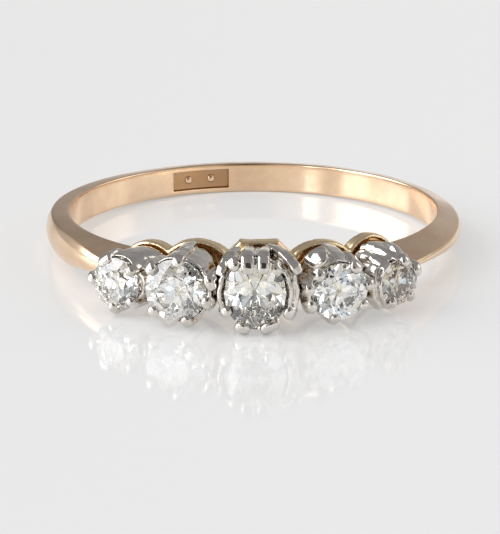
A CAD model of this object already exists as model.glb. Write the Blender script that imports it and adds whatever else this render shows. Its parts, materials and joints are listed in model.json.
"""Five stone ring, lying on its side on a pale glossy table.

The ring is drawn in its own plane in millimetres: the finger axis is Z, the stones face -Y and
an angle is counted from the middle of the head, positive towards +X. lay_down() then puts it
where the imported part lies, in metres.
"""

import bisect
import json
import math
from collections import namedtuple

import bmesh
import bpy
from mathutils import Matrix, Vector, noise


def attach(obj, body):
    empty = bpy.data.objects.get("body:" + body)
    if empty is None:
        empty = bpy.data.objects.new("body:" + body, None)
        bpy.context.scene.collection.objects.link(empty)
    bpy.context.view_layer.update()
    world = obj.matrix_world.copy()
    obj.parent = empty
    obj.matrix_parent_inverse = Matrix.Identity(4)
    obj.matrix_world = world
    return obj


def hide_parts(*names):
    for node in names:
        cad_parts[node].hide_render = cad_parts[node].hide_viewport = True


bl_info = {
    "name": "Five stone ring",
    "version": (1, 0, 0),
    "blender": (4, 5, 0),
    "location": "3D View > Sidebar > Ring",
    "description": "A gold ring with five old cut diamonds in platinum claws, and its studio",
    "category": "Add Mesh",
}

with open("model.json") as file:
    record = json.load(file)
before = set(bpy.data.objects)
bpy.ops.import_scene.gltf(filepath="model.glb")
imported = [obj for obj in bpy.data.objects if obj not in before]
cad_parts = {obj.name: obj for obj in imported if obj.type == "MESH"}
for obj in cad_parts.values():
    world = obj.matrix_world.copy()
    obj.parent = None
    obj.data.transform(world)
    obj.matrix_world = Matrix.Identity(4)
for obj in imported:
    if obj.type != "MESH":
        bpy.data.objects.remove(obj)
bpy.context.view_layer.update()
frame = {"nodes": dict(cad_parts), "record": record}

MM = 0.001

# The ring's numbers are in millimetres and degrees, down to the studio
METAL_ROUNDING = 3

# Band from inside the head to the back: share of the way, rise, widening, left and right crease
BAND_ROWS = (
    (0.000, 1.17, 1.0, 0.31, 0.10),
    (0.063, 0.83, 1.0, 0.45, 0.13),
    (0.127, 0.55, 1.0, 0.71, 0.19),
    (0.197, 0.40, 1.0, 0.87, 0.27),
    (0.296, 0.34, 0.8, 0.93, 0.37),
    (0.423, 0.28, 0.5, 0.94, 0.51),
    (0.592, 0.14, 0.2, 0.91, 0.69),
    (0.789, 0.03, 0.0, 0.87, 0.83),
    (1.000, 0.00, 0.0, 0.86, 0.86),
)
BAND_STEPS = 96
SHOULDER_END = 38.0

# Section of the band. Its corners' roles run from 0 at the middle of the inside to the last at
# the middle of the outside, which is domed down to a crease
SECTION_START = 9.0
PANEL_ROLE, CREASE_ROLE, LAST_ROLE = 1, 7, 9
RIM = 0.06
RIM_MIDDLE = (0.3, 0.4)
FLAT_MARGIN = 0.12
SIDE_SWELL = (0.01, 0.008)
DOME = 0.38
DOME_MIDDLE = 0.6
KNIFE_CREASE = 0.45

# Sunk mark panel inside the band, and its two pellets
MARK_FROM, MARK_TO = 187.0, 205.6
MARK_HALF_HEIGHT = 0.46
MARK_DEPTH = 0.16
MARK_SLOPE = 0.02
MARK_CREASE = 0.9
PELLET_ASIDE = 3.7
PELLET_RADIUS = 0.2
PELLET_FLATNESS = 0.7

# Gallery behind the stones. Its grain is a share of the setting's, and the walls round its
# pockets and its darker insides are shares of its own wall
GALLERY_FRONT = 8.98
GALLERY_LIFT = 0.08
GALLERY_WALL = 0.17
GALLERY_GRAIN = 1.1
GALLERY_POLISH = 0.005
ARCH_EDGE = 0.08
ARCH_CORNER = 0.63
EDGE_RUN = 1.5
POCKET_FLOOR = 8.72
POCKET_REACH = 3.4
POCKET_WALL = 0.8
INSIDE_WALL = (0.6, 0.5)
INSIDE_FROM, INSIDE_TO = 0.1, 0.07
OVAL_SEGMENTS = 72

# Stones, and the share of each that is open to the light behind it
LIGHT_HOLE = 0.42
Stone = namedtuple("Stone", "name angle radius lift width height cup_angle arch_width arch_height tone")
STONES = (
    Stone("left_end", -34.19, 11.15, -0.12, 2.40, 2.35, -31.99, 3.00, 2.52, (0.95, 0.925, 0.89)),
    Stone("left", -18.20, 11.60, 0.04, 2.85, 2.85, -17.22, 3.60, 3.10, (0.66, 0.64, 0.61)),
    Stone("centre", -0.67, 11.90, 0.14, 2.75, 3.30, 0.61, 2.96, 3.20, (0.95, 0.925, 0.87)),
    Stone("right", 18.20, 11.60, -0.05, 2.60, 2.60, 18.87, 3.50, 2.92, (0.985, 0.97, 0.94)),
    Stone("right_end", 34.19, 11.15, -0.16, 2.05, 2.05, 34.81, 2.90, 2.92, (0.74, 0.63, 0.52)),
)

# Cups. The foot stands clear inside its arch and is rounded off below, and the body bulges and
# flares on its way to the girdle. The steps are shares of that way, and the hollow is depths
# below the girdle with shares of the stone's size
CUP_FOOT = 8.76
CUP_REACH = 2.56
CUP_SIDES = 0.44
CUP_SLACK = 0.03
CUP_ROOM = 0.206
CUP_RIM = 0.07
CUP_FLARE = 1.3
CUP_BULGE = 0.10
FOOT_ROUNDING, FOOT_ROUNDED_TO = 0.30, 0.14
CUP_STEPS = (0, 0.05, 0.12, 0.22, 0.36, 0.52, 0.68, 0.82, 0.93)
CUP_HOLLOW = ((0.02, 1.02), (0.08, 0.98), (0.7, 0.50))
HOLLOW_RIM = 0.9
CUP_SEGMENTS = 96

# Scallops in a cup's rim, and the angle to each side that a claw keeps free of them
SCALLOP_OUTSIDE, SCALLOP_INSIDE = 0.22, 0.16
SCALLOP_FROM = 0.6
SCALLOP_SWELL = 0.03
CLAW_HOLD = 17

# Claws: direction round the stone, size of the tip, depth of the foot below the girdle, how far
# the tip stands out from the stone and above the girdle, and its kind
Claw = namedtuple("Claw", "direction tip depth out rise kind", defaults=("bead",))
CLAWS = {
    "left_end": (
        Claw(120, 0.84, 0.95, 0.02, 0.08),
        Claw(40, 0.50, 1.20, 0.05, 0.12),
        Claw(178, 0.56, 0.80, 0.12, 0.12),
        Claw(-95, 0.50, 1.20, 0.04, 0.14),
        Claw(-38, 0.48, 1.20, 0.08, 0.16),
    ),
    "left": (
        Claw(140, 0.62, 1.50, 0.14, 0.16),
        Claw(84, 0.56, 1.60, 0.04, 0.16),
        Claw(19, 0.78, 1.60, 0.46, 0.30),
        Claw(-14, 0.62, 1.60, 0.24, 0.22),
        Claw(-68, 0.56, 1.60, 0.12, 0.14),
        Claw(-136, 0.52, 1.50, 0.12, 0.14),
    ),
    "centre": (
        Claw(103, 0.62, 1.80, 0.12, 0.16, "tab"),
        Claw(76, 0.58, 1.80, 0.12, 0.16, "tab"),
        Claw(130, 0.58, 1.80, 0.16, 0.10),
        Claw(44, 0.60, 1.80, 0.06, 0.06),
        Claw(-26, 0.64, 1.80, 0.42, 0.12),
        Claw(-64, 0.90, 1.80, 0.14, 0.12),
        Claw(-113, 0.74, 1.80, 0.14, 0.12),
        Claw(-152, 0.54, 1.80, 0.18, 0.12),
    ),
    "right": (
        Claw(122, 1.20, 1.40, 0.44, -0.34, "bulb"),
        Claw(140, 0.60, 1.50, 0.12, 0.12),
        Claw(56, 0.62, 1.60, 0.08, 0.14),
        Claw(8, 0.52, 1.60, 0.22, 0.06),
        Claw(170, 0.62, 1.60, 0.34, 0.18),
        Claw(-160, 0.66, 1.60, 0.30, 0.20),
        Claw(-104, 0.54, 1.60, 0.02, 0.16),
        Claw(-32, 0.54, 1.60, 0.10, 0.14),
    ),
    "right_end": (
        Claw(132, 0.50, 1.50, 0.14, 0.10),
        Claw(172, 0.48, 1.50, 0.24, 0.00),
        Claw(74, 0.52, 1.50, 0.10, 0.14),
        Claw(24, 0.58, 0.80, 0.16, 0.10),
        Claw(-48, 0.42, 1.20, 0.02, 0.14),
        Claw(-116, 0.50, 1.20, 0.04, 0.14),
        Claw(-150, 0.44, 1.40, 0.14, 0.06),
    ),
}

# A claw's stem: width and thickness of foot, waist and neck as shares of the tip's, how deep
# the foot is sunk in the cup, where the waist is, and how far below the tip the neck ends
STEM_SHARES = ((0.62, 0.9), (0.86, 1.0), (0.96, 1.05))
STEM_SUNK, STEM_GAP = 0.04, 0.02
WAIST_UP, WAIST_OUT = 0.45, 0.35
NECK_TOP, NECK_BELOW = 0.1, 0.32

# How a claw's tip folds over its stone: how far in and up, how much its way rises and leans in,
# and its width and thickness
Fold = namedtuple("Fold", "inward height rising leaning wide deep")
BEAD_FOLDS = (Fold(-0.01, -0.16, 1.0, 0.0, 1.0, 1.1), Fold(0.06, -0.04, 0.8, 0.6, 0.94, 1.0))
TAB_FOLDS = (
    Fold(-0.02, -0.12, 1.0, 0.0, 1.0, 1.1),
    Fold(0.08, 0.10, 0.8, 0.7, 1.0, 1.15),
    Fold(0.28, 0.22, 0.5, 1.0, 1.0, 1.15),
    Fold(0.50, 0.28, 0.30, 1.0, 0.95, 1.1),
    Fold(0.68, 0.28, 0.0, 1.0, 0.70, 0.8),
)
TAB_THICK, BEAD_THICK = 0.20, 0.19

# The round end of a bead, and of a worn bulb as shares of its width, with its flat side's way
TIP_INSET = 0.12
BEAD_HALF = (0.27, 0.20)
BEAD_LEAN = -22
BULB_HALF = (0.82, 0.36)
BULB_THICK = 0.6
BULB_TURN = 20
BULB_FACING = (-0.69, 0.63, 0.35)
BULB_FORWARD = 0.22

# Folds of metal beside the stones: directions from and to, how far out, height and half width.
# They waver out and up by a length and a pace
Ridge = namedtuple("Ridge", "start end out height half")
RIDGES = {
    "left": (Ridge(40, -30, 0.20, -0.14, 0.12),),
    "centre": (
        Ridge(36, -20, 0.20, -0.10, 0.12),
        Ridge(30, -22, 0.46, -0.30, 0.13),
        Ridge(150, 205, 0.20, -0.12, 0.12),
    ),
    "right": (Ridge(150, 215, 0.22, -0.12, 0.12),),
    "right_end": (
        Ridge(118, 235, 0.16, -0.08, 0.12),
        Ridge(140, 230, 0.40, -0.24, 0.13),
    ),
}
RIDGE_STEPS = 6
RIDGE_DEPTH = 0.42
RIDGE_END = 0.72
WAVER_OUT, WAVER_UP = (0.03, 2.3), (0.04, 1.7)
WAVER_SHIFT = 9

# Broad flat bars: which way they face, half width and half thickness, and places beside a stone
Strip = namedtuple("Strip", "facing half thick spots")
STRIPS = {
    "left": (
        Strip(
            (-0.20, 0.90, 0.40), 0.36, 0.12,
            ((-0.14, 1.46, -2.45), (-0.06, 1.50, -1.8), (0.09, 1.50, -0.9), (0.16, 1.44, -0.2)),
        ),
    ),
    "centre": (
        Strip(
            (0.38, 0.50, 0.78), 0.27, 0.17,
            (
                (0.72, 1.52, -2.1), (0.96, 1.62, -1.4), (1.24, 1.62, -0.7),
                (1.54, 1.46, -0.20), (1.80, 1.18, 0.02), (1.94, 0.94, 0.06),
            ),
        ),
        Strip(
            (-0.38, 0.55, 0.75), 0.24, 0.15,
            (
                (-0.84, 1.50, -1.8), (-1.06, 1.50, -1.1), (-1.28, 1.36, -0.6),
                (-1.46, 1.08, -0.3), (-1.6, 0.78, -0.1),
            ),
        ),
    ),
    "right": (
        Strip(
            (0.20, 0.90, 0.40), 0.36, 0.12,
            ((0.32, 1.42, -2.4), (0.22, 1.50, -1.6), (0.19, 1.44, -0.8), (0.10, 1.34, -0.2)),
        ),
    ),
    "right_end": (
        Strip(
            (-0.75, 0.65, 0.10), 0.20, 0.15,
            (
                (-0.56, 1.22, -1.95), (-0.49, 1.33, -1.6), (-0.39, 1.36, -1.2),
                (-0.26, 1.28, -0.75), (-0.10, 1.18, -0.35), (0.03, 1.04, 0.04),
            ),
        ),
        Strip(
            (-0.75, 0.65, 0.10), 0.20, 0.15,
            (
                (-0.90, 0.98, -1.50), (-0.82, 1.00, -1.00), (-0.72, 0.96, -0.55),
                (-0.62, 0.88, -0.12), (-0.56, 0.78, 0.10),
            ),
        ),
    ),
}
STRIP_END = 0.75
BAR_SEGMENTS = 20

# Rail that joins the cups
RAIL_LOW, RAIL_HIGH, RAIL_HALF = 9.6, 10.26, 0.55
RAIL_END = 33
RAIL_STEPS = 48
RAIL_EDGE = 0.08

# Finishes of the metals: share and warmth of their tone where dull and in crevices, roughness,
# size of the patches and relief. Sunk panels go a share of the way to the crevices' tone
Finish = namedtuple("Finish", "name dull crevice smoothest dullest patch relief")
FINISHES = {
    "gold": Finish("Rose gold", (0.86, 0.05), (0.38, 0.28), 0.10, 0.26, 1.6, 0.004),
    "deep_gold": Finish("Gallery gold", (0.94, 0.03), (0.72, 0.27), 0.16, 0.34, 0.9, 0.004),
    "platinum": Finish("Platinum", (0.74, 0.0), (0.12, 0.05), 0.03, 0.18, 0.6, 0.003),
}
SUNK_GRIME = 0.80

# Studio, in metres. Light inside a diamond is thrown about many times, and a share of the
# table's brightness comes through it from below
LIGHT_BOUNCES = 24
TABLE_HALF = 1.5
TABLE_GLOW = 0.45

# Soft lights, all aimed at the ring
SoftLight = namedtuple(
    "SoftLight", "name place width height power colour mirrored", defaults=((1, 1, 1), True)
)
LIGHTS = (
    SoftLight("overhead", (-0.22, -0.15, 0.8), 0.9, 0.9, 3.1, mirrored=False),
    SoftLight("left_box", (-0.62, -0.02, 0.32), 0.75, 0.62, 4.2),
    SoftLight("left_strip", (-0.477, -0.589, 0.26), 0.13, 0.20, 0.25),
    SoftLight("right_box", (0.6, 0.15, 0.40), 0.5, 0.5, 0.85, (1.0, 0.97, 0.93)),
)

# Light of the room by direction, and two darker patches, at the camera and behind on the left:
# which way, how well a direction agrees with it at the edge and in the middle, and the tone
ROOM_FRONT = (0.74, 0.735, 0.73, 1)
ROOM_BACK = (0.50, 0.49, 0.48, 1)
ROOM_TOP = (0.31, 0.31, 0.32, 1)
ROOM_STRENGTH = 0.96
Patch = namedtuple("Patch", "way edge middle tone")
PATCHES = (
    Patch((0.06, -0.90, 0.42), 0.92, 0.98, (0.05, 0.045, 0.04, 1)),
    Patch((-0.35, 0.90, 0.25), 0.90, 0.98, (0.28, 0.27, 0.26, 1)),
)

# Middle of the picture, from the middle of the finger hole, in millimetres
AIM_LEFT, AIM_BELOW = 0.16, 2.06


class RingSizes(bpy.types.PropertyGroup):
    """Sizes of the ring that a maker would change."""

    bore_radius: bpy.props.FloatProperty(
        name="Finger hole radius",
        description="Half the inner diameter of the band",
        default=8.45 * MM,
        unit="LENGTH",
        precision=5,
    )
    band_thickness: bpy.props.FloatProperty(
        name="Band thickness",
        description="Thickness of the band at the back",
        default=0.95 * MM,
        unit="LENGTH",
        precision=5,
    )
    band_width: bpy.props.FloatProperty(
        name="Band width",
        description="Width of the band at the back",
        default=1.40 * MM,
        unit="LENGTH",
        precision=5,
    )
    shoulder_width: bpy.props.FloatProperty(
        name="Shoulder width",
        description="Width of the band where it meets the head",
        default=1.62 * MM,
        unit="LENGTH",
        precision=5,
    )
    shoulder_rise: bpy.props.FloatProperty(
        name="Shoulder rise",
        description="Extra thickness of the band where it meets the head",
        default=0.58 * MM,
        unit="LENGTH",
        precision=5,
    )
    grain: bpy.props.FloatProperty(
        name="Surface grain",
        description="Size of the steps in which soldered metal is melted together",
        default=0.042 * MM,
        unit="LENGTH",
        precision=6,
    )


class RingColours(bpy.types.PropertyGroup):
    """Colours of the metals and the table."""

    gold: bpy.props.FloatVectorProperty(
        name="Gold",
        description="Rose tinted gold of the band",
        default=(0.92, 0.69, 0.485),
        size=3,
        subtype="COLOR",
    )
    deep_gold: bpy.props.FloatVectorProperty(
        name="Gallery gold",
        description="Deeper gold of the scalloped gallery",
        default=(0.98, 0.78, 0.50),
        size=3,
        subtype="COLOR",
    )
    platinum: bpy.props.FloatVectorProperty(
        name="Platinum",
        description="Worn white metal of the setting",
        default=(0.83, 0.785, 0.725),
        size=3,
        subtype="COLOR",
    )
    table: bpy.props.FloatVectorProperty(
        name="Table",
        description="Pale glossy sheet under the ring",
        default=(0.815, 0.815, 0.815),
        size=3,
        subtype="COLOR",
    )


class StudioSettings(bpy.types.PropertyGroup):
    """Where the camera stands."""

    distance: bpy.props.FloatProperty(
        name="Camera distance",
        description="From the camera to the middle of the picture",
        default=0.25,
        unit="LENGTH",
    )
    elevation: bpy.props.FloatProperty(
        name="Camera elevation",
        description="Height of the camera above the horizon",
        default=math.radians(18.9),
        subtype="ANGLE",
    )
    turn: bpy.props.FloatProperty(
        name="Camera turn",
        description="How far the camera stands round to the right",
        default=math.radians(-1.0),
        subtype="ANGLE",
    )
    lens: bpy.props.FloatProperty(
        name="Lens",
        description="Focal length for a 36 mm sensor",
        default=364.5,
        subtype="DISTANCE_CAMERA",
    )


def millimetres(length):
    """A length property in millimetres."""
    return round(length / MM, 6)


def finger_mount():
    """The finger hole's stored mount, which gives the ring's middle and tilt."""
    return frame["record"]["mounts"][0]


def lay_down():
    """From the ring's own plane, in millimetres, to where the part lies, in metres."""
    mount = finger_mount()
    axis = Vector(mount["axis"])
    tilt = Matrix.Rotation(-math.atan2(axis.y, axis.z), 4, "X")
    return Matrix.Translation(mount["pos_m"]) @ tilt @ Matrix.Scale(MM, 4)


def seat(angle, radius, lift=0.0):
    """Frame on the ring: X runs round it, Y along the finger axis, Z outwards."""
    a = math.radians(angle)
    out = Vector((math.sin(a), -math.cos(a), 0))
    place = Matrix.Translation(out * radius + Vector((0, 0, lift)))
    turned = Matrix(((math.cos(a), 0, out.x), (math.sin(a), 0, out.y), (0, 1, 0))).to_4x4()
    return place @ turned


def outwards(place):
    """The way out of the ring at a seat."""
    return place.to_3x3() @ Vector((0, 0, 1))


def mix(a, b, share):
    """A value between two others."""
    return a + (b - a) * share


def clamp(share):
    """A share kept from 0 to 1."""
    return max(0.0, min(1.0, share))


def round_spot(half, direction, height=0.0):
    """A place on an oval of a half width and half height, and its height above it."""
    a = math.radians(direction)
    return Vector((half[0] * math.cos(a), half[1] * math.sin(a), height))


def along_rows(rows, along):
    """A table's values at a share of the length, joined by smooth curves."""
    places = [row[0] for row in rows]
    i = max(0, min(len(rows) - 2, bisect.bisect_right(places, along) - 1))

    def slope(k, column):
        low, high = max(k - 1, 0), min(k + 1, len(rows) - 1)
        return (rows[high][column] - rows[low][column]) / (places[high] - places[low])

    step = places[i + 1] - places[i]
    t = (along - places[i]) / step
    values = []
    for column in range(1, len(rows[0])):
        a, b = rows[i][column], rows[i + 1][column]
        rise_a, rise_b = slope(i, column) * step, slope(i + 1, column) * step
        values.append(
            a * (2 * t**3 - 3 * t**2 + 1)
            + rise_a * (t**3 - 2 * t**2 + t)
            + b * (3 * t**2 - 2 * t**3)
            + rise_b * (t**3 - t**2)
        )
    return values


def new_mesh(name, bm):
    """A mesh made from bm, which is freed."""
    mesh = bpy.data.meshes.new(name)
    bm.to_mesh(mesh)
    bm.free()
    return mesh


def new_object(name, data):
    """An object in the scene."""
    made = bpy.data.objects.new(name, data)
    bpy.context.scene.collection.objects.link(made)
    return made


def helper(bm):
    """An object made from bm for a while, to cut with or to modify. The caller drops it."""
    return new_object("helper", new_mesh("helper", bm))


def drop(*helpers):
    """Removes helper objects and their meshes."""
    for tool in helpers:
        mesh = tool.data
        bpy.data.objects.remove(tool)
        bpy.data.meshes.remove(mesh)


def settled(bm, *modifiers):
    """A mesh made from bm with modifiers applied, each given as its kind and its settings."""
    blank = helper(bm)
    for kind, settings in modifiers:
        modifier = blank.modifiers.new(kind.title(), kind)
        for key, value in settings.items():
            setattr(modifier, key, value)
    graph = bpy.context.evaluated_depsgraph_get()
    made = bpy.data.meshes.new_from_object(blank.evaluated_get(graph))
    drop(blank)
    return made


def melting(grain):
    """Modifiers that run overlapping shells together into one skin with soft joins, like
    soldered metal."""
    return (
        ("REMESH", {"mode": "VOXEL", "voxel_size": grain, "use_smooth_shade": True}),
        ("SMOOTH", {"factor": 0.5, "iterations": METAL_ROUNDING}),
    )


def cutting(tool):
    """A modifier that cuts a helper's shape out."""
    return "BOOLEAN", {"operation": "DIFFERENCE", "solver": "EXACT", "object": tool}


def worn(mesh, depth, spacing):
    """Gives hand worked metal its slight unevenness."""
    bm = bmesh.new()
    bm.from_mesh(mesh)
    bm.normal_update()
    falloff, finer, octaves = 0.7, 2.0, 2
    moved = [
        v.co + v.normal * depth * noise.fractal(v.co / spacing, falloff, finer, octaves)
        for v in bm.verts
    ]
    for vert, spot in zip(bm.verts, moved):
        vert.co = spot
    bm.to_mesh(mesh)
    bm.free()


def place_piece(name, mesh, material, node, sharp=40.0):
    """Lays a finished mesh down with its material, riding on the part and standing for a node."""
    mesh.transform(lay_down())
    mesh.shade_smooth()
    mesh.set_sharp_from_angle(angle=math.radians(sharp))
    mesh.materials.clear()
    mesh.materials.append(material)
    mesh.name = name
    piece = new_object(name, mesh)
    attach(piece, "root")
    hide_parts(node)


def spin_section(bm, spots, turn, steps):
    """A closed section through places, spun round the finger by a turn."""
    loop = [bm.verts.new(spot) for spot in spots]
    edges = [bm.edges.new((a, b)) for a, b in zip(loop, loop[1:] + loop[:1])]
    angle = math.radians(turn)
    bmesh.ops.spin(bm, geom=loop + edges, cent=(0, 0, 0), axis=(0, 0, 1), angle=angle, steps=steps)


def close_ends(bm):
    """Fills open ends and turns every face outwards."""
    bmesh.ops.holes_fill(bm, edges=[e for e in bm.edges if e.is_boundary], sides=0)
    bmesh.ops.recalc_face_normals(bm, faces=bm.faces)


def bevel(bm, edges, offset, segments=1):
    """Takes edges off."""
    bmesh.ops.bevel(
        bm, geom=edges, offset=offset, segments=segments, profile=0.5, affect="EDGES", material=-1
    )


def open_ring(bm, segments):
    """A round ring of points, and its edges."""
    ring = bmesh.ops.create_circle(bm, segments=segments, radius=1)["verts"]
    return ring, list({e for v in ring for e in v.link_edges})


def next_ring(bm, ring, edges):
    """A ring drawn out of the last one, its points in the same order, and its edges."""
    grown = bmesh.ops.extrude_edge_only(bm, edges=edges)["geom"]
    edges = [g for g in grown if isinstance(g, bmesh.types.BMEdge)]
    new = {g for g in grown if isinstance(g, bmesh.types.BMVert)}
    return [next(e.other_vert(v) for e in v.link_edges if e.other_vert(v) in new) for v in ring], edges


def band_point(role, along, to_the_right, sizes):
    """Radius and height of one corner of the band's section, by its role, negative below."""
    rise, widening, left, right = along_rows(BAND_ROWS, along)
    bore = millimetres(sizes.bore_radius)
    narrow, wide = millimetres(sizes.band_width), millimetres(sizes.shoulder_width)
    half = mix(narrow, wide, max(0.0, widening)) / 2
    outer = bore + millimetres(sizes.band_thickness) + rise * millimetres(sizes.shoulder_rise)
    crease = (right if to_the_right else left) * half
    side, top = (bore + RIM, half), (outer - DOME * crease, crease)
    swollen = [
        [mix(a, b, share) + swell for a, b, swell in zip(side, top, SIDE_SWELL)]
        for share in (0.2, 0.8)
    ]
    points = (
        (bore, 0),
        (bore, MARK_HALF_HEIGHT),
        (bore, half - FLAT_MARGIN),
        (bore + RIM * RIM_MIDDLE[0], half - RIM * RIM_MIDDLE[1]),
        side,
        *swollen,
        top,
        (outer - DOME * crease * DOME_MIDDLE**2, crease * DOME_MIDDLE),
        (outer, 0),
    )
    radius, height = points[abs(role)]
    return radius, math.copysign(height, role)


def make_band(sizes):
    """The band and shoulders: a section spun round the finger and drawn out along the way."""
    bm = bmesh.new()
    role_of = bm.verts.layers.int.new("role")
    crease_of = bm.edges.layers.float.new("crease_edge")
    start = seat(SHOULDER_END, SECTION_START).translation
    roles = [*range(LAST_ROLE + 1), *range(1 - LAST_ROLE, 0)]
    turn = 360 - 2 * SHOULDER_END
    spin_section(bm, [start + Vector((0, 0, role)) for role in roles], turn, BAND_STEPS)
    angle_of = {}
    for vert in bm.verts:
        vert[role_of] = round(vert.co.z)
        angle = math.degrees(math.atan2(vert.co.x, -vert.co.y)) % 360
        for mark in (MARK_FROM, MARK_TO):
            if abs(angle - mark) < turn / BAND_STEPS / 2:
                angle = mark
        to_the_right = angle < 180
        from_head = angle if to_the_right else 360 - angle
        along = clamp((from_head - SHOULDER_END) / (180 - SHOULDER_END))
        radius, height = band_point(vert[role_of], along, to_the_right, sizes)
        vert.co = seat(angle, radius, height).translation
        angle_of[vert] = angle
    for edge in bm.edges:
        if {abs(v[role_of]) for v in edge.verts} == {CREASE_ROLE}:
            edge[crease_of] = KNIFE_CREASE
    close_ends(bm)
    panel = [
        f
        for f in bm.faces
        if all(abs(v[role_of]) <= PANEL_ROLE and MARK_FROM <= angle_of[v] <= MARK_TO for v in f.verts)
    ]
    sunk = bm.verts.layers.float.new("sunk")
    inset = {"thickness": MARK_SLOPE, "depth": -MARK_DEPTH, "use_even_offset": True}
    walls = bmesh.ops.inset_region(bm, faces=panel, use_boundary=True, **inset)["faces"]
    for edge in {e for f in walls for e in f.edges}:
        edge[crease_of] = MARK_CREASE
    for vert in {v for f in panel for v in f.verts}:
        vert[sunk] = 1.0
    middle = (MARK_FROM + MARK_TO) / 2
    floor = millimetres(sizes.bore_radius) + MARK_DEPTH
    for angle in (middle - PELLET_ASIDE, middle + PELLET_ASIDE):
        flat = seat(angle, floor) @ Matrix.Diagonal((1, 1, PELLET_FLATNESS, 1))
        bmesh.ops.create_icosphere(bm, subdivisions=3, radius=PELLET_RADIUS, matrix=flat)
    return settled(bm, ("SUBSURF", {"levels": 2, "render_levels": 2}))


def add_oval(bm, place, half_width, half_height, low, high, taper=0.0):
    """A solid oval block on a seat, from one height to another. A taper draws its rim in."""
    at = place @ Matrix.Translation((0, 0, low)) @ Matrix.Diagonal((half_width, half_height, 1, 1))
    circle = bmesh.ops.create_circle(bm, cap_ends=True, segments=OVAL_SEGMENTS, radius=1, matrix=at)
    face = next(iter(set.intersection(*(set(v.link_faces) for v in circle["verts"]))))
    run = EDGE_RUN * taper
    for rise, inset in [(high - low - run, 0)] + [(run, taper)] * bool(taper):
        raised = bmesh.ops.extrude_face_region(bm, geom=[face])["geom"]
        top = [g for g in raised if isinstance(g, bmesh.types.BMVert)]
        face = next(g for g in raised if isinstance(g, bmesh.types.BMFace))
        bmesh.ops.translate(bm, verts=top, vec=outwards(place) * rise)
        drawn_in = Matrix.Diagonal((1 - inset / half_width, 1 - inset / half_height, 1, 1))
        bmesh.ops.transform(bm, matrix=drawn_in, space=place.inverted(), verts=top)


def add_panel(bm, place, width, height, deep):
    """A solid block on a seat, with its four corners cut and its front edge sloped."""
    shape = Matrix.Translation((0, 0, deep / 2)) @ Matrix.Diagonal((width, height, deep, 1))
    verts = bmesh.ops.create_cube(bm, size=1, matrix=place @ shape)["verts"]
    out = outwards(place).normalized()
    nearly_along = 0.9
    upright = [
        e
        for e in {e for v in verts for e in v.link_edges}
        if abs((e.verts[0].co - e.verts[1].co).normalized().dot(out)) > nearly_along
    ]
    bevel(bm, upright, ARCH_CORNER)
    middle = place @ Vector((0, 0, deep))
    front = min(
        (f for f in bm.faces if abs(f.normal.dot(out)) > nearly_along),
        key=lambda f: (f.calc_center_median() - middle).length,
    )
    bevel(bm, list(front.edges), ARCH_EDGE)


def inside_arch(stone, spot):
    """Whether a place on the gallery is inside a stone's arch, within its wall."""
    local = seat(stone.cup_angle, 0, GALLERY_LIFT).inverted() @ spot
    aside, above = (GALLERY_WALL * share for share in INSIDE_WALL)
    half = Vector((stone.arch_width / 2 - aside, stone.arch_height / 2 - above))
    return local.z > 0 and (local.x / half.x) ** 2 + (local.y / half.y) ** 2 < 1


def make_gallery(sizes):
    """The scalloped gold gallery: five arches, each sunk and bored for light, run together."""
    grain = millimetres(sizes.grain) * GALLERY_GRAIN
    bore = millimetres(sizes.bore_radius)
    low = bore - GALLERY_WALL
    deep = GALLERY_FRONT - low
    wide = bore + 0.01
    bodies = [bmesh.new()]
    bmesh.ops.create_cone(bodies[0], cap_ends=True, segments=256, radius1=wide, radius2=wide, depth=8)
    for stone in STONES:
        pocket, hole = bmesh.new(), bmesh.new()
        sunk = seat(stone.cup_angle, POCKET_FLOOR, GALLERY_LIFT)
        wide = min(stone.arch_width - 2 * GALLERY_WALL, POCKET_REACH)
        tall = stone.arch_height / 2 - GALLERY_WALL * POCKET_WALL
        add_oval(pocket, sunk, wide / 2, tall, low=0, high=2)
        eye = seat(stone.cup_angle, low)
        wide, tall = stone.width * LIGHT_HOLE / 2, stone.height * LIGHT_HOLE / 2
        add_oval(hole, eye, wide, tall, low=-1, high=3)
        bodies += [pocket, hole]
    for body in bodies:
        bmesh.ops.recalc_face_normals(body, faces=body.faces)
    tools = [helper(body) for body in bodies]
    arches = bmesh.new()
    for stone in STONES:
        arch = bmesh.new()
        foot = seat(stone.cup_angle, low, GALLERY_LIFT)
        if stone.name == "centre":
            add_panel(arch, foot, stone.arch_width, stone.arch_height, deep)
        else:
            add_oval(arch, foot, stone.arch_width / 2, stone.arch_height / 2, 0, deep, ARCH_EDGE)
        bmesh.ops.recalc_face_normals(arch, faces=arch.faces)
        bored = settled(arch, *(cutting(tool) for tool in tools))
        arches.from_mesh(bored)
        bpy.data.meshes.remove(bored)
    drop(*tools)
    mesh = settled(arches, *melting(grain))
    worn(mesh, depth=0.012, spacing=0.5)
    polished = bmesh.new()
    polished.from_mesh(mesh)
    deep_gold = polished.verts.layers.float.new("sunk")
    for vert in polished.verts:
        radius = vert.co.xy.length
        if abs(radius - bore) < 1.5 * grain:
            vert.co.xy *= (bore + GALLERY_POLISH) / radius
        elif bore + INSIDE_FROM < radius < GALLERY_FRONT - INSIDE_TO:
            vert[deep_gold] = any(inside_arch(stone, vert.co) for stone in STONES)
    polished.to_mesh(mesh)
    polished.free()
    return mesh


def girdle(stone):
    """Frame at the middle of a stone's girdle."""
    return seat(stone.angle, stone.radius, stone.lift)


def up_cup(stone, radius):
    """A radius as a share of the way from a cup's foot to the girdle."""
    return clamp((radius - CUP_FOOT) / (stone.radius - CUP_FOOT))


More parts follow.
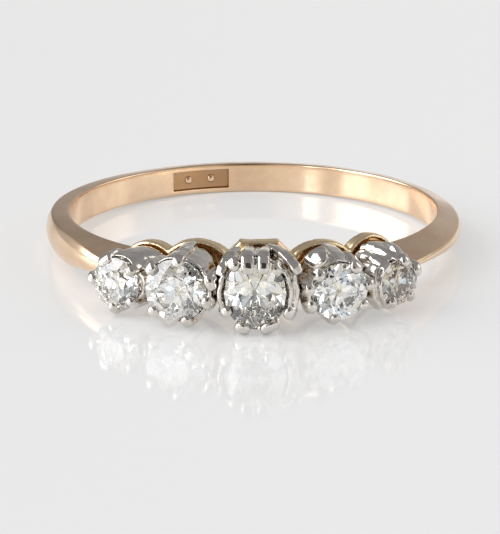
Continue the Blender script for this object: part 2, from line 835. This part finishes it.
def cup_half(stone, radius):
    """Half width and half height of a cup's outside at a radius."""
    wide = min(stone.arch_width - CUP_SIDES, CUP_REACH) / 2 - CUP_SLACK
    foot = Vector((wide, stone.arch_height / 2 - CUP_ROOM))
    body = Vector((stone.width / 2 + CUP_RIM, stone.height / 2 + CUP_RIM))
    share = up_cup(stone, radius)
    rounded = 1 - FOOT_ROUNDING * max(0.0, 1 - share / FOOT_ROUNDED_TO) ** 2
    bulge = CUP_BULGE * math.sin(math.pi * share) ** 2
    return (foot.lerp(body, share**CUP_FLARE)) * rounded + Vector((bulge, bulge))


def cup_seat(stone, radius):
    """Frame of a cup at a radius: it leans from its place in the gallery to the stone's."""
    share = up_cup(stone, radius)
    angle = mix(stone.cup_angle, stone.angle, share)
    return seat(angle, radius, mix(GALLERY_LIFT, stone.lift, share))


def cup_spot(stone, radius, direction, out=0.0):
    """A place on a cup's outside, or off it by a distance."""
    half = cup_half(stone, radius) + Vector((out, out))
    return cup_seat(stone, radius) @ round_spot(half, direction)


def near_claw(stone, direction):
    """1 at a claw, falling to 0 midway between two."""
    gaps = [abs((direction - claw.direction + 180) % 360 - 180) for claw in CLAWS[stone.name]]
    return math.exp(-((min(gaps) / CLAW_HOLD) ** 2))


def add_cup(bm, stone):
    """A bowl with an open foot. Its rim is scalloped between the claws."""
    rise = stone.radius - CUP_FOOT
    rows = [(CUP_FOOT + rise * share, None) for share in CUP_STEPS]
    rows += [(stone.radius - depth, share) for depth, share in CUP_HOLLOW]
    rows.append((CUP_FOOT, LIGHT_HOLE))
    ring, edges = open_ring(bm, CUP_SEGMENTS)
    first_edges = edges
    directions = [math.degrees(math.atan2(v.co.y, v.co.x)) for v in ring]
    for k, (radius, share) in enumerate(rows):
        if k:
            ring, edges = next_ring(bm, ring, edges)
        for vert, direction in zip(ring, directions):
            between = 1 - near_claw(stone, direction)
            if share is None:
                low = SCALLOP_OUTSIDE * between * max(0.0, (radius - CUP_FOOT) / rise - SCALLOP_FROM)
                vert.co = cup_spot(stone, radius - low, direction, SCALLOP_SWELL * between)
            else:
                low = SCALLOP_INSIDE * between * (share > HOLLOW_RIM)
                half = Vector((stone.width, stone.height)) * share / 2
                vert.co = cup_seat(stone, radius - low) @ round_spot(half, direction)
    bmesh.ops.bridge_loops(bm, edges=first_edges + edges)


def add_bar(bm, stations):
    """A bar drawn through stations, each a place, a way forward, a way across and two half sizes."""
    ring, edges = open_ring(bm, BAR_SEGMENTS)
    first_edges = edges
    flat = [v.co.copy() for v in ring]
    for k, (place, forward, across, half_width, half_depth) in enumerate(stations):
        if k:
            ring, edges = next_ring(bm, ring, edges)
        side = across.normalized()
        deep = forward.normalized().cross(side).normalized()
        for vert, spot in zip(ring, flat):
            square = 1 / max(abs(spot.x), abs(spot.y)) ** 0.5
            vert.co = place + side * spot.x * half_width * square + deep * spot.y * half_depth * square
    for end in (first_edges, edges):
        bmesh.ops.holes_fill(bm, edges=end, sides=0)


def bar_along(bm, spots, facing, half, thick, start, end):
    """A bar drawn through places with its flat side one way, and drawn in at its ends."""
    last = len(spots) - 1
    stations = []
    for k, spot in enumerate(spots):
        forward = spots[min(k + 1, last)] - spots[max(k - 1, 0)]
        swell = {0: start, last: end}.get(k, 1.0)
        stations.append((spot, forward, forward.cross(facing), half * swell, thick * swell))
    add_bar(bm, stations)


def add_ridge(bm, stone, ridge):
    """A fold of metal that runs along the side of a stone."""
    place = girdle(stone)
    spots = []
    for k in range(RIDGE_STEPS + 1):
        out = ridge.out + WAVER_OUT[0] * math.sin(k * WAVER_OUT[1])
        height = ridge.height + WAVER_UP[0] * math.sin(k * WAVER_UP[1] + ridge.out * WAVER_SHIFT)
        half = Vector((stone.width / 2 + out, stone.height / 2 + out))
        direction = mix(ridge.start, ridge.end, k / RIDGE_STEPS)
        spots.append(place @ round_spot(half, direction, height))
    bar_along(bm, spots, outwards(place), ridge.half, RIDGE_DEPTH, RIDGE_END, RIDGE_END)


def add_strip(bm, stone, strip):
    """A broad flat bar drawn through places round a stone."""
    place = girdle(stone)
    spots = [place @ Vector(spot) for spot in strip.spots]
    facing = place.to_3x3() @ Vector(strip.facing)
    bar_along(bm, spots, facing, strip.half, strip.thick, 1.0, STRIP_END)


def add_claw(bm, stone, claw):
    """A claw that grows up the cup, stands past the girdle and folds over the stone."""
    place = girdle(stone)

    def beside(out, height):
        half = (stone.width / 2 + out, stone.height / 2 + out)
        return place @ round_spot(half, claw.direction, height)

    turned = place.to_3x3()
    a = math.radians(90 if claw.kind == "tab" else claw.direction)
    across = turned @ Vector((-math.sin(a), math.cos(a), 0))
    out_way = turned @ Vector((math.cos(a), math.sin(a), 0))
    up = outwards(place)
    width = claw.tip / 2
    thick = {"tab": TAB_THICK, "bulb": width * BULB_THICK, "bead": BEAD_THICK}[claw.kind]
    low = stone.radius - claw.depth
    middle, apart = mix(low, stone.radius, WAIST_UP), mix(STEM_GAP, claw.out, WAIST_OUT)
    foot = cup_spot(stone, low, claw.direction, -STEM_SUNK)
    waist = cup_spot(stone, middle, claw.direction, apart)
    neck = beside(claw.out + STEM_GAP, min(claw.rise, NECK_TOP) - NECK_BELOW)
    ways = ((foot, waist - foot), (waist, neck - foot), (neck, up))
    stations = [(*way, *shares) for way, shares in zip(ways, STEM_SHARES)]
    if claw.kind == "tab":
        base = beside(claw.out, claw.rise)
        tip = [(base - out_way * fold.inward + up * fold.height, fold) for fold in TAB_FOLDS]
    else:
        tip = [(beside(claw.out - fold.inward, claw.rise + fold.height), fold) for fold in BEAD_FOLDS]
    for spot, fold in tip:
        stations.append((spot, up * fold.rising - out_way * fold.leaning, fold.wide, fold.deep))
    add_bar(
        bm,
        [(spot, forward, across, width * wide, thick * deep) for spot, forward, wide, deep in stations],
    )
    if claw.kind == "tab":
        return
    middle = beside(claw.out - TIP_INSET, claw.rise)
    if claw.kind == "bulb":
        facing = turned @ Vector(BULB_FACING)
        middle += facing * BULB_FORWARD
        ends = facing.to_track_quat("Z", "Y").to_matrix().to_4x4()
        lean = Matrix.Rotation(math.radians(BULB_TURN), 4, "Z")
        half = (width, *(width * share for share in BULB_HALF))
    else:
        ends = Matrix((across, out_way, up)).transposed().to_4x4()
        lean = Matrix.Rotation(math.radians(BEAD_LEAN), 4, "X")
        half = (width, *BEAD_HALF)
    shape = Matrix.Translation(middle) @ ends @ lean @ Matrix.Diagonal((*half, 1))
    bmesh.ops.create_icosphere(bm, subdivisions=3, radius=1, matrix=shape)


def stone_cutter(stone):
    """The stone's own node, a hair larger, to cut its seat with."""
    bm = bmesh.new()
    bm.from_mesh(frame["nodes"]["diamond_" + stone.name].data)
    bmesh.ops.remove_doubles(bm, verts=bm.verts, dist=0.001 * MM)
    bmesh.ops.transform(bm, matrix=lay_down().inverted(), verts=bm.verts)
    middle = sum((v.co for v in bm.verts), Vector()) / len(bm.verts)
    grow = Matrix.Translation(middle) @ Matrix.Scale(1.02, 4) @ Matrix.Translation(-middle)
    bmesh.ops.transform(bm, matrix=grow, verts=bm.verts)
    bmesh.ops.recalc_face_normals(bm, faces=bm.faces)
    return helper(bm)


def make_setting(stone, sizes):
    """One stone's platinum: cup and claws run together, with the stone's seat cut out."""
    bm = bmesh.new()
    add_cup(bm, stone)
    for claw in CLAWS[stone.name]:
        add_claw(bm, stone, claw)
    for ridge in RIDGES.get(stone.name, ()):
        add_ridge(bm, stone, ridge)
    for strip in STRIPS.get(stone.name, ()):
        add_strip(bm, stone, strip)
    bmesh.ops.recalc_face_normals(bm, faces=bm.faces)
    mesh = settled(bm, *melting(millimetres(sizes.grain)))
    worn(mesh, depth=0.018, spacing=0.6)
    tool = stone_cutter(stone)
    cut = bmesh.new()
    cut.from_mesh(mesh)
    seated = settled(cut, cutting(tool))
    drop(tool)
    bpy.data.meshes.remove(mesh)
    return seated


def make_rail():
    """The bar that joins the cups."""
    bm = bmesh.new()
    start = outwards(seat(-RAIL_END, 1))
    low, high, half = RAIL_LOW, RAIL_HIGH, RAIL_HALF
    corners = ((low, -half), (high, -half), (high, half), (low, half))
    spots = [start * radius + Vector((0, 0, height)) for radius, height in corners]
    spin_section(bm, spots, 2 * RAIL_END, RAIL_STEPS)
    close_ends(bm)
    bevel(bm, [e for e in bm.edges if e.calc_face_angle(0) > 1], RAIL_EDGE, segments=3)
    return settled(bm)


def feed(node, inputs):
    """Gives a node's inputs their values. One that is another node's socket is linked."""
    for key, value in inputs.items():
        if isinstance(value, bpy.types.NodeSocket):
            node.id_data.links.new(value, node.inputs[key])
        else:
            node.inputs[key].default_value = value


def add_node(tree, kind, at, inputs=None, **settings):
    """A shader node with its settings and inputs."""
    node = tree.nodes.new(kind)
    node.location = at
    for key, value in settings.items():
        setattr(node, key, value)
    feed(node, inputs or {})
    return node


def worked(tree, operation, at, *values, **settings):
    """The result of a sum."""
    inputs = dict(enumerate(values))
    settings["operation"] = operation
    return add_node(tree, "ShaderNodeMath", at, inputs, **settings).outputs[0]


def ramp(tree, value, low, high, at, inputs=None, **settings):
    """A value carried from its own range to 0 to 1, or to what the inputs say."""
    inputs = {"Value": value, "From Min": low, "From Max": high, **(inputs or {})}
    return add_node(tree, "ShaderNodeMapRange", at, inputs, **settings).outputs["Result"]


def two_tones(tree, share, a, b, at):
    """A colour between two others."""
    inputs = {"Factor": share, "A": a, "B": b}
    return add_node(tree, "ShaderNodeMix", at, inputs, data_type="RGBA").outputs["Result"]


def clouds(tree, at, scale, detail, roughness=0.5):
    """Soft noise on a piece's own coordinates."""
    coords = add_node(tree, "ShaderNodeTexCoord", (at[0] - 200, at[1])).outputs["Object"]
    inputs = {"Vector": coords, "Scale": scale, "Detail": detail, "Roughness": roughness}
    return add_node(tree, "ShaderNodeTexNoise", at, inputs).outputs["Fac"]


def new_material(name):
    """A material, its nodes and its main shader."""
    material = bpy.data.materials.new(name)
    material.use_nodes = True
    return material, material.node_tree, material.node_tree.nodes["Principled BSDF"]


def darker(colour, share, warmth):
    """A darker tone of a colour, warmed a little."""
    red, green, blue = (part * share for part in colour)
    return red, green * (1 - warmth), blue * (1 - 2 * warmth), 1


def wear_group():
    """Fine polish marks and broad dulling, shared by the metals."""
    name = "Polish wear"
    if name in bpy.data.node_groups:
        return bpy.data.node_groups[name]
    tree = bpy.data.node_groups.new(name, "ShaderNodeTree")
    for label, default in (("Smoothest", 0.08), ("Dullest", 0.30), ("Patch size", 0.001)):
        socket = tree.interface.new_socket(label, in_out="INPUT", socket_type="NodeSocketFloat")
        socket.default_value, socket.min_value, socket.max_value = default, 0, 1
    for label in ("Roughness", "Height", "Tarnish"):
        tree.interface.new_socket(label, in_out="OUTPUT", socket_type="NodeSocketFloat")
    take = add_node(tree, "NodeGroupInput", (-900, 0)).outputs
    scale = worked(tree, "DIVIDE", (-850, -200), 1.0, take["Patch size"])
    patches = clouds(tree, (-450, 250), scale, 4.0, 0.6)
    finer = worked(tree, "MULTIPLY", (-650, -300), scale, 9.0)
    lines = clouds(tree, (-250, -200), finer, 3.0, 0.55)
    both = worked(tree, "MULTIPLY_ADD", (-50, 100), lines, 0.35, patches)
    ends = {"To Min": take["Smoothest"], "To Max": take["Dullest"]}
    given = {"Roughness": ramp(tree, both, 0.42, 0.95, (200, 100), ends)}
    add_node(tree, "NodeGroupOutput", (700, 0), {**given, "Height": lines, "Tarnish": patches})
    return tree


def metal(scene, key):
    """Polished metal with wear: two tones in patches, roughness in patches, fine marks, and
    darker metal in the crevices and on sunk panels. The key names its colour and finish."""
    bright, finish = getattr(scene.ring_colours, key), FINISHES[key]
    material, tree, shader = new_material(finish.name)
    patch = finish.patch * MM
    values = {"Smoothest": finish.smoothest, "Dullest": finish.dullest, "Patch size": patch}
    wear = add_node(tree, "ShaderNodeGroup", (-700, 0), values, node_tree=wear_group()).outputs
    tone = ramp(tree, wear["Tarnish"], 0.35, 0.7, (-480, 200))
    colour = two_tones(tree, tone, (*bright, 1), darker(bright, *finish.dull), (-250, 200))
    reach = {"Distance": 0.20 * MM}
    shade = add_node(tree, "ShaderNodeAmbientOcclusion", (-900, 450), reach, samples=6)
    open_air = ramp(tree, shade.outputs["AO"], 0.12, 0.62, (-700, 450))
    sunk = add_node(tree, "ShaderNodeAttribute", (-700, 700), attribute_name="sunk").outputs["Fac"]
    clean = worked(tree, "MULTIPLY_ADD", (-450, 550), sunk, -SUNK_GRIME, open_air, use_clamp=True)
    crevice = darker(bright, *finish.crevice)
    marks = {"Strength": 0.35, "Distance": finish.relief * MM, "Height": wear["Height"]}
    bump = add_node(tree, "ShaderNodeBump", (-250, -200), marks)
    inputs = {
        "Base Color": two_tones(tree, clean, crevice, colour, (-50, 300)),
        "Metallic": 1.0,
        "Roughness": wear["Roughness"],
        "Normal": bump.outputs["Normal"],
    }
    feed(shader, inputs)
    return material


def diamond_material(name, clear):
    """Old cut diamond of one clear tone with faint touches of fire."""
    white = (*clear, 1)
    material, tree, shader = new_material(name)
    glints = clouds(tree, (-700, 0), 1500.0, 1.0)
    fire = add_node(tree, "ShaderNodeValToRGB", (-400, 0), {"Fac": glints})
    stops = fire.color_ramp.elements
    stops[0].position, stops[0].color = 0.34, (0.78, 0.90, 1.0, 1)
    stops[1].position, stops[1].color = 0.41, white
    for place, tint in (
        (0.57, white),
        (0.61, (1.0, 0.90, 0.55, 1)),
        (0.65, white),
        (0.69, (1.0, 0.82, 0.80, 1)),
    ):
        stops.new(place).color = tint
    glass = {"Transmission Weight": 1.0, "IOR": 2.42, "Roughness": 0.0}
    feed(shader, {**glass, "Base Color": fire.outputs["Color"]})
    return material


class RING_OT_band(bpy.types.Operator):
    """Gold band with knife edge shoulders and a plain sunk mark panel"""

    bl_idname = "ring.band"
    bl_label = "Band"

    def execute(self, context):
        gold = metal(context.scene, "gold")
        mesh = make_band(context.scene.ring_sizes)
        place_piece("gold_band", mesh, gold, "gold_mount", sharp=50)
        return {"FINISHED"}


class RING_OT_gallery(bpy.types.Operator):
    """Scalloped gold gallery behind the stones"""

    bl_idname = "ring.gallery"
    bl_label = "Gallery"

    def execute(self, context):
        gold = metal(context.scene, "deep_gold")
        mesh = make_gallery(context.scene.ring_sizes)
        place_piece("gold_gallery", mesh, gold, "gold_mount")
        return {"FINISHED"}


class RING_OT_setting(bpy.types.Operator):
    """Platinum cups, claws and the rail that joins them"""

    bl_idname = "ring.setting"
    bl_label = "Setting"

    def execute(self, context):
        platinum = metal(context.scene, "platinum")
        for stone in STONES:
            mesh = make_setting(stone, context.scene.ring_sizes)
            place_piece("setting_" + stone.name, mesh, platinum, "platinum_setting")
        place_piece("setting_rail", make_rail(), platinum, "platinum_setting")
        return {"FINISHED"}


class RING_OT_stones(bpy.types.Operator):
    """Clear diamond for the five stones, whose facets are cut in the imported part"""

    bl_idname = "ring.stones"
    bl_label = "Stones"

    def execute(self, context):
        for stone in STONES:
            diamond = diamond_material("Diamond " + stone.name, stone.tone)
            node = frame["nodes"]["diamond_" + stone.name]
            node.data.materials.clear()
            node.data.materials.append(diamond)
        return {"FINISHED"}


class RING_OT_stage(bpy.types.Operator):
    """Pale glossy table, soft studio light and the camera"""

    bl_idname = "ring.stage"
    bl_label = "Stage"

    def execute(self, context):
        scene = context.scene
        make_table(scene)
        for lamp in LIGHTS:
            soft_light(lamp)
        make_room(scene)
        make_camera(scene)
        scene.view_settings.view_transform = "Standard"
        scene.cycles.max_bounces = LIGHT_BOUNCES
        scene.cycles.glossy_bounces = LIGHT_BOUNCES
        scene.cycles.transmission_bounces = LIGHT_BOUNCES
        return {"FINISHED"}


def make_table(scene):
    """A large pale sheet under the ring, faintly lit from below."""
    bm = bmesh.new()
    bmesh.ops.create_grid(bm, x_segments=2, y_segments=2, size=TABLE_HALF)
    table = new_object("table_top", new_mesh("table_top", bm))
    material, tree, shader = new_material("Pale gloss")
    haze = clouds(tree, (-500, 0), 60.0, 3.0)
    sheet = Vector(scene.ring_colours.table)
    inputs = {
        "Base Color": (*(sheet * (1 - TABLE_GLOW)), 1),
        "Roughness": ramp(tree, haze, 0.0, 1.0, (-250, 0), {"To Min": 0.05, "To Max": 0.09}),
        "Emission Color": (*sheet, 1),
        "Emission Strength": TABLE_GLOW,
    }
    feed(shader, inputs)
    table.data.materials.append(material)


def soft_light(lamp):
    """A rectangular soft light aimed at the ring. One that isn't mirrored only lights it."""
    data = bpy.data.lights.new(lamp.name, "AREA")
    data.shape = "RECTANGLE"
    data.size, data.size_y = lamp.width, lamp.height
    data.energy = lamp.power
    data.color = lamp.colour
    light = new_object(lamp.name, data)
    light.location = lamp.place
    light.rotation_euler = (-Vector(lamp.place)).to_track_quat("-Z", "Y").to_euler()
    light.visible_glossy = lamp.mirrored


def make_room(scene):
    """A pale room, darker behind, above and in its patches."""
    world = bpy.data.worlds.new("Room")
    scene.world = world
    world.use_nodes = True
    tree = world.node_tree
    coords = add_node(tree, "ShaderNodeTexCoord", (-1300, 0)).outputs["Generated"]
    split = add_node(tree, "ShaderNodeSeparateXYZ", (-1100, 100), {"Vector": coords}).outputs
    smooth = {"interpolation_type": "SMOOTHSTEP"}
    depth = ramp(tree, split["Y"], -0.6, 0.9, (-900, -50), **smooth)
    height = ramp(tree, split["Z"], 0.1, 0.8, (-900, 200), **smooth)
    lit = two_tones(tree, depth, ROOM_FRONT, ROOM_BACK, (-650, 0))
    lit = two_tones(tree, height, lit, ROOM_TOP, (-420, 100))
    for x, patch in enumerate(PATCHES, start=-4):
        ways = {0: coords, 1: patch.way}
        towards = add_node(tree, "ShaderNodeVectorMath", (x * 200, -300), ways, operation="DOT_PRODUCT")
        agreeing = towards.outputs["Value"]
        inside = ramp(tree, agreeing, patch.edge, patch.middle, (x * 200, -500), **smooth)
        lit = two_tones(tree, inside, lit, patch.tone, (x * 200 + 500, -300))
    feed(tree.nodes["Background"], {"Color": lit, "Strength": ROOM_STRENGTH})


def make_camera(scene):
    """The photograph's view of the ring."""
    settings = scene.ring_studio
    mount = Vector(finger_mount()["pos_m"])
    target = Vector((-AIM_LEFT * MM, mount.y, mount.z - AIM_BELOW * MM))
    e, a = settings.elevation, settings.turn
    back = Vector((math.sin(a) * math.cos(e), -math.cos(a) * math.cos(e), math.sin(e)))
    data = bpy.data.cameras.new("camera")
    data.lens = settings.lens
    data.sensor_width = 36.0
    data.clip_start, data.clip_end = 0.01, 10.0
    camera = new_object("camera", data)
    camera.location = target + back * settings.distance
    camera.rotation_euler = (-back).to_track_quat("-Z", "Y").to_euler()
    scene.camera = camera


class RING_PT_panel(bpy.types.Panel):
    """The ring's pieces and sizes"""

    bl_label = "Five stone ring"
    bl_space_type = "VIEW_3D"
    bl_region_type = "UI"
    bl_category = "Ring"

    def draw(self, context):
        layout = self.layout
        for group in GROUPS:
            settings = getattr(context.scene, group)
            for name in settings.__annotations__:
                layout.prop(settings, name)
        for operator in PIECES:
            layout.operator(operator.bl_idname)


PIECES = (RING_OT_band, RING_OT_gallery, RING_OT_setting, RING_OT_stones, RING_OT_stage)
GROUPS = {"ring_sizes": RingSizes, "ring_colours": RingColours, "ring_studio": StudioSettings}


def register():
    """Adds the classes and their settings."""
    for cls in (*GROUPS.values(), *PIECES, RING_PT_panel):
        bpy.utils.register_class(cls)
    for name, group in GROUPS.items():
        setattr(bpy.types.Scene, name, bpy.props.PointerProperty(type=group))


def unregister():
    """Takes the classes and their settings away again."""
    for name in GROUPS:
        delattr(bpy.types.Scene, name)
    for cls in (RING_PT_panel, *PIECES, *GROUPS.values()):
        bpy.utils.unregister_class(cls)


def main():
    """Builds every piece and the studio."""
    register()
    bpy.ops.ring.band()
    bpy.ops.ring.gallery()
    bpy.ops.ring.setting()
    bpy.ops.ring.stones()
    bpy.ops.ring.stage()


if __name__ == "__main__":
    main()
